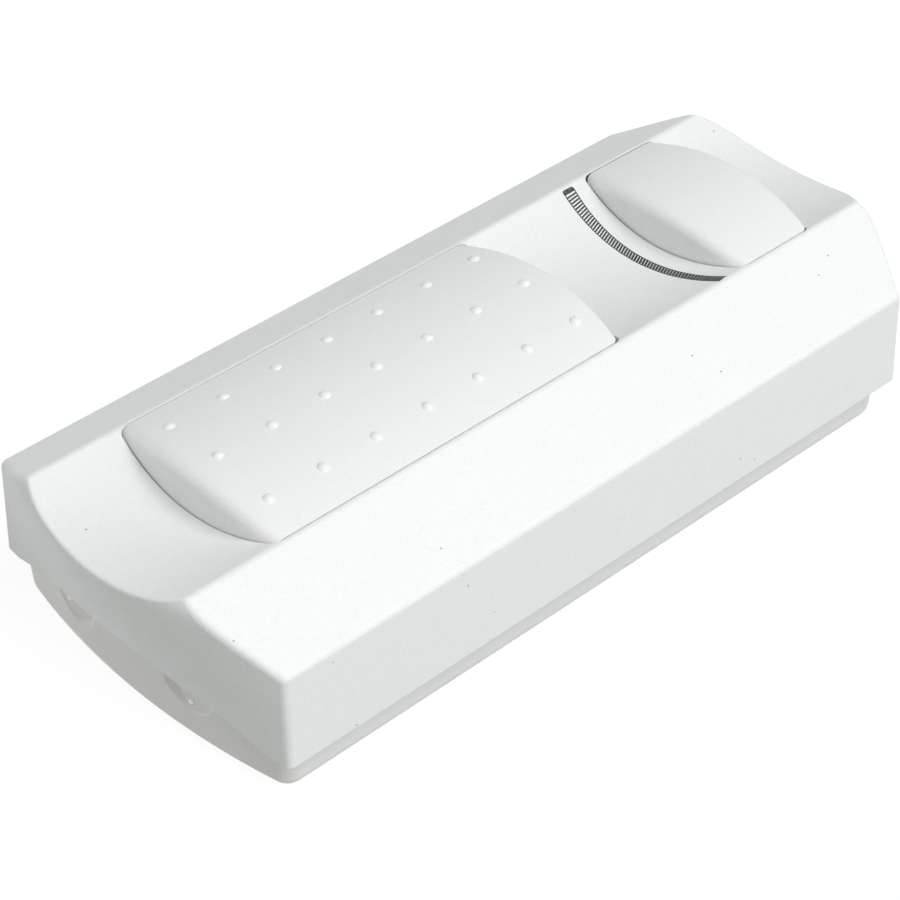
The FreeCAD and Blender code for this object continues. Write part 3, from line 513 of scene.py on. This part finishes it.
def border_path():
    span = cap_y - SCALE_RIGHT
    heights = [SCALE_RIGHT + span * step / BORDER_STEPS for step in range(BORDER_STEPS + 1)]
    path = [(scale_front(y), y) for y in heights]
    top = heights[-1]
    front = scale_front(top) + CAP_ROUND
    rear = scale_rear(top) - CAP_ROUND
    turns = [math.pi / 2 * step / CAP_STEPS for step in range(CAP_STEPS + 1)]
    for turn in turns[1:]:
        path.append((front - CAP_ROUND * math.cos(turn), top + CAP_ROUND * math.sin(turn)))
    for turn in turns:
        path.append((rear + CAP_ROUND * math.sin(turn), top + CAP_ROUND * math.cos(turn)))
    path += [(scale_rear(y), y) for y in reversed(heights[:-1])]
    return path


def make_border(ink):
    path = border_path()
    last = len(path) - 1

    def place(across, along):
        index = round(along * last)
        x, y = path[index]
        before = path[max(index - 1, 0)]
        after = path[min(index + 1, last)]
        run = Vector((after[0] - before[0], after[1] - before[1])).normalized()
        side = (across - 1 / 2) * BORDER_WIDTH
        return on_channel(x - run.y * side, y + run.x * side)

    border = laid_grid(1, last, place)
    bmesh.ops.solidify(border, geom=border.faces[:], thickness=INK_LIFT * MM)
    bmesh.ops.recalc_face_normals(border, faces=border.faces[:])
    finish_piece("scale_border", border, "housing", ink, smooth=False)


# %% [markdown]
# Inside the border stand some sixty short lines. They get thicker towards the bright end, until
# they nearly touch, and they lean most in the middle; the first is as wide as the cap and fills
# it. Each is a flat box: a unit cube, and a matrix whose three columns are the line's length, its
# width and its height.

# %% Lines of the scale
SCALE_LINES = 60
THIN_LINE, THICK_LINE = 0.28, 0.50
LINE_LEAN, LEAN_MIDDLE, LEAN_REACH = 0.5, -2.0, 18.0


def line_matrix(y, thickness):
    slant = LINE_LEAN * (1 - ((y - LEAN_MIDDLE) / LEAN_REACH) ** 2)
    middle = (scale_front(y) + scale_rear(y)) / 2
    half_length = (scale_rear(y) - scale_front(y)) / 2
    front = on_channel(middle - half_length, y - slant * half_length)
    rear = on_channel(middle + half_length, y + slant * half_length)
    along = rear - front
    across = on_channel(middle, y + thickness / 2) - on_channel(middle, y - thickness / 2)
    up = along.cross(across).normalized() * INK_LIFT * MM
    turn = Matrix((along, across, up)).transposed().to_4x4()
    return Matrix.Translation((front + rear) / 2) @ turn


# A smooth rise from 0 to 1
def eased(share):
    return share ** 2 * (3 - 2 * share)


def make_lines(ink):
    lines = bmesh.new()
    bmesh.ops.create_cube(lines, size=1.0, matrix=line_matrix(cap_y, 2 * CAP_ROUND))
    pitch = (cap_y - SCALE_RIGHT) / SCALE_LINES
    for index in range(1, SCALE_LINES):
        thickness = THIN_LINE + (THICK_LINE - THIN_LINE) * eased(index / SCALE_LINES)
        matrix = line_matrix(cap_y - (index + 1 / 2) * pitch, thickness)
        bmesh.ops.create_cube(lines, size=1.0, matrix=matrix)
    finish_piece("scale_lines", lines, "housing", ink, smooth=False)


# %% [markdown]
# Printing ink is nearly black, and where it lies thin the white shows through as a dark grey.

# %% Ink
INK_THIN = (0.09, 0.10, 0.09)
INK_FULL = (0.028, 0.030, 0.027)


def ink_finish():
    finish, tree, shader = new_finish("scale_ink", INK_FULL, 0.6)
    cover = add_noise(tree, object_place(tree), 0.35, detail=3.0)
    tint = add_ramp(tree, cover, INK_THIN, INK_FULL, start=0.30, end=0.55)
    tree.links.new(tint, shader.inputs["Base Color"])
    return finish


scale_ink = ink_finish()
make_border(scale_ink)
make_lines(scale_ink)

# %% [markdown]
# Each closed cord entry has a small bright dot: the mark that the mould's gate left. It is a small
# dome on the recessed face of the base. The plastic froze there without touching the grained
# mould,
# so it is as smooth as glass: a clear coat gives it that gloss. Its white is also lighter than the
# base's, which paints in part of its highlight.

# %% Gate marks
GATE_LEFT_Y, GATE_LEFT_Z = 14.1, 9.3
GATE_RIGHT_Y, GATE_RIGHT_Z = -12.0, 7.9
GATE_FACE = -61.38
GATE_RADIUS = 0.45
GATE_RISE = 0.50
GATE_RINGS, GATE_SIDES = 6, 20
# Painted highlight in part: a white lighter than the base's, so that the dot shines
GATE_HIGHLIGHT_WHITE = (0.93, 0.93, 0.92)


def gate_finish():
    finish, tree, shader = new_finish("gate_with_painted_highlight", GATE_HIGHLIGHT_WHITE, 0.2)
    shader.inputs["Coat Weight"].default_value = 1.0
    shader.inputs["Coat IOR"].default_value = 2.4
    shader.inputs["Coat Roughness"].default_value = 0.05
    ripple = add_noise(tree, object_place(tree), 0.3)
    add_bump(tree, shader, ripple, depth_mm=0.02, strength=0.2)
    return finish


gate_highlight_finish = gate_finish()


def make_gate(name, middle_y, middle_z):
    def place(across, along):
        turn = 2 * math.pi * along
        tilt = math.pi / 2 * across
        x = GATE_FACE - GATE_RISE * math.sin(tilt)
        reach = GATE_RADIUS * math.cos(tilt)
        y = middle_y + reach * math.cos(turn)
        return Vector((x, y, middle_z + reach * math.sin(turn))) * MM

    shape = laid_grid(GATE_RINGS, GATE_SIDES, place)
    bmesh.ops.remove_doubles(shape, verts=shape.verts[:], dist=MERGE_REACH)
    bmesh.ops.recalc_face_normals(shape, faces=shape.faces[:])
    finish_piece(name, shape, "housing", gate_highlight_finish)


make_gate("entry_gate_left", GATE_LEFT_Y, GATE_LEFT_Z)
make_gate("entry_gate_right", GATE_RIGHT_Y, GATE_RIGHT_Z)

# %% [markdown]
# Two pieces are each one long wire, wound as a helix: a grid that is rolled up across into a tube
# of wire, and bent along into its turns. The box of the node that the helix replaces gives its
# radius and its height. The tube's seam is merged, its two ends are filled, and its faces are
# then made to point outwards.

# %% Helper for coils
STEPS_PER_TURN = 40
WIRE_SIDES = 8


def coil(node, turns, wire_radius):
    low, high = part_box(node)
    centre = Vector(((low[0] + high[0]) / 2, (low[1] + high[1]) / 2, 0))
    radius = (high[0] - low[0]) / 2 - wire_radius
    climb = high[2] - low[2] - 2 * wire_radius

    def place(across, along):
        turn = 2 * math.pi * turns * along
        around = 2 * math.pi * across
        reach = radius + wire_radius * math.cos(around)
        height = low[2] + wire_radius * (1 + math.sin(around)) + climb * along
        return centre + Vector((reach * math.cos(turn), reach * math.sin(turn), height))

    shape = laid_grid(WIRE_SIDES, turns * STEPS_PER_TURN, place)
    bmesh.ops.remove_doubles(shape, verts=shape.verts[:], dist=MERGE_REACH)
    bmesh.ops.holes_fill(shape, edges=shape.edges[:], sides=WIRE_SIDES)
    bmesh.ops.recalc_face_normals(shape, faces=shape.faces[:])
    return shape


# %% [markdown]
# The choke's winding is a plain sleeve in the construction model, because it is sealed inside.
# Here it gets its turns, each lying on the one below.

# %% Choke winding
WINDING_TURNS = 12


def make_winding():
    low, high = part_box("choke_winding")
    wire_radius = (high[2] - low[2]) / WINDING_TURNS / 2
    shape = coil("choke_winding", WINDING_TURNS, wire_radius)
    piece = finish_piece("choke_winding_turns", shape, "housing",
                         finishes["copper_wire"])
    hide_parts("choke_winding")


make_winding()

# %% [markdown]
# The return spring gets shorter when the key goes down. A rigid coil would stick out through its
# seat in the key. This one rides on no body: it is built where the construction model's spring
# stands, and stays there.

# %% Return spring
SPRING_TURNS = 6
SPRING_WIRE_RADIUS = 0.35


def make_return_spring():
    shape = coil("key_return_spring", SPRING_TURNS, SPRING_WIRE_RADIUS * MM)
    piece = finish_piece("key_return_coil", shape, None, finishes["steel"])
    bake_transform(piece)
    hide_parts("key_return_spring")


make_return_spring()

# %% [markdown]
# The photograph was lit for a catalogue, on a pure white ground with no edge, like a light table.
# To the camera, in reflections and through glass the ground and the sky are white; for soft light
# they are dimmer, which keeps the front end and the left shoulder darker than the top. A Light
# Path node tells the two apart.

# %% Helpers for the ground and the sky
def seen_directly(tree):
    rays = tree.nodes.new("ShaderNodeLightPath").outputs
    mirrored = add_math(tree, "MAXIMUM", rays["Is Glossy Ray"], rays["Is Transmission Ray"])
    return add_math(tree, "MAXIMUM", rays["Is Camera Ray"], mirrored)


def choose(tree, output, for_light, for_camera):
    choice = tree.nodes.new("ShaderNodeMixShader")
    tree.links.new(seen_directly(tree), choice.inputs["Fac"])
    tree.links.new(for_light.outputs[0], choice.inputs[1])
    tree.links.new(for_camera.outputs[0], choice.inputs[2])
    tree.links.new(choice.outputs[0], tree.nodes[output].inputs["Surface"])


def add_glow(tree, colour, strength=1.0):
    glow = tree.nodes.new("ShaderNodeEmission")
    glow.inputs["Color"].default_value = (*colour, 1)
    glow.inputs["Strength"].default_value = strength
    return glow


# %% [markdown]
# The ground glows almost to white, and the rest comes from a dark matt shader that is added to
# the glow. That part catches the object's shadow, which would be lost on a ground that only glows.

# %% Ground
FLOOR_SIZE = 6.0
FLOOR_LIGHT = (0.43, 0.445, 0.43)
FLOOR_GLOW = 0.88
FLOOR_GREY = 0.2


def floor_finish():
    finish = bpy.data.materials.new("studio_floor")
    finish.use_nodes = True
    tree = finish.node_tree
    tree.nodes.remove(tree.nodes["Principled BSDF"])
    soft = tree.nodes.new("ShaderNodeBsdfDiffuse")
    soft.inputs["Color"].default_value = (*grey(FLOOR_GREY), 1)
    both = tree.nodes.new("ShaderNodeAddShader")
    tree.links.new(add_glow(tree, grey(1.0), FLOOR_GLOW).outputs[0], both.inputs[0])
    tree.links.new(soft.outputs[0], both.inputs[1])
    choose(tree, "Material Output", add_glow(tree, FLOOR_LIGHT), both)
    return finish


def make_floor():
    mesh = bpy.data.meshes.new("floor")
    shape = bmesh.new()
    bmesh.ops.create_grid(shape, x_segments=1, y_segments=1, size=FLOOR_SIZE / 2)
    shape.to_mesh(mesh)
    shape.free()
    mesh.materials.append(floor_finish())
    floor = bpy.data.objects.new("floor", mesh)
    bpy.context.scene.collection.objects.link(floor)


make_floor()

# %% Sky
SKY_LIGHT = (0.17, 0.20, 0.205)


def make_sky():
    world = bpy.data.worlds.new("studio")
    bpy.context.scene.world = world
    world.use_nodes = True
    tree = world.node_tree
    dim = tree.nodes["Background"]
    dim.inputs["Color"].default_value = (*SKY_LIGHT, 1)
    white = tree.nodes.new("ShaderNodeBackground")
    white.inputs["Color"].default_value = (*grey(1.0), 1)
    choose(tree, "World Output", dim, white)


make_sky()

# %% [markdown]
# Four square lamps light the dimmer, each aimed at the origin: a large soft one high on the side
# of the right shoulder, a weak warm one in front, and two weak ones low at the sides. Their
# powers were found by rendering each lamp alone and mixing the pictures until the mix had the
# photograph's greys.

# %% Lamps
def area_light(name, place, size, power, tint):
    data = bpy.data.lights.new(name, "AREA")
    data.shape = "SQUARE"
    data.size = size
    data.energy = power
    data.color = tint
    light = bpy.data.objects.new(name, data)
    light.location = place
    light.rotation_euler = (-Vector(place)).to_track_quat("-Z", "Y").to_euler()
    bpy.context.scene.collection.objects.link(light)
    print(name, "distance, m:", round(Vector(place).length, 2))


area_light("key_light", place=(0.16, -0.70, 1.10), size=1.1, power=15.0, tint=(1.0, 0.97, 0.983))
area_light("front_fill", place=(-0.95, -0.10, 0.80), size=0.8, power=2.0, tint=(1.0, 0.83, 0.70))
area_light("left_fill", place=(-0.45, 0.95, 0.12), size=0.5, power=2.4, tint=(1.0, 0.98, 0.98))
area_light("right_fill", place=(0.15, -1.0, 0.20), size=0.5, power=1.95, tint=(1.0, 1.0, 1.0))
bpy.context.scene.view_settings.view_transform = "Standard"
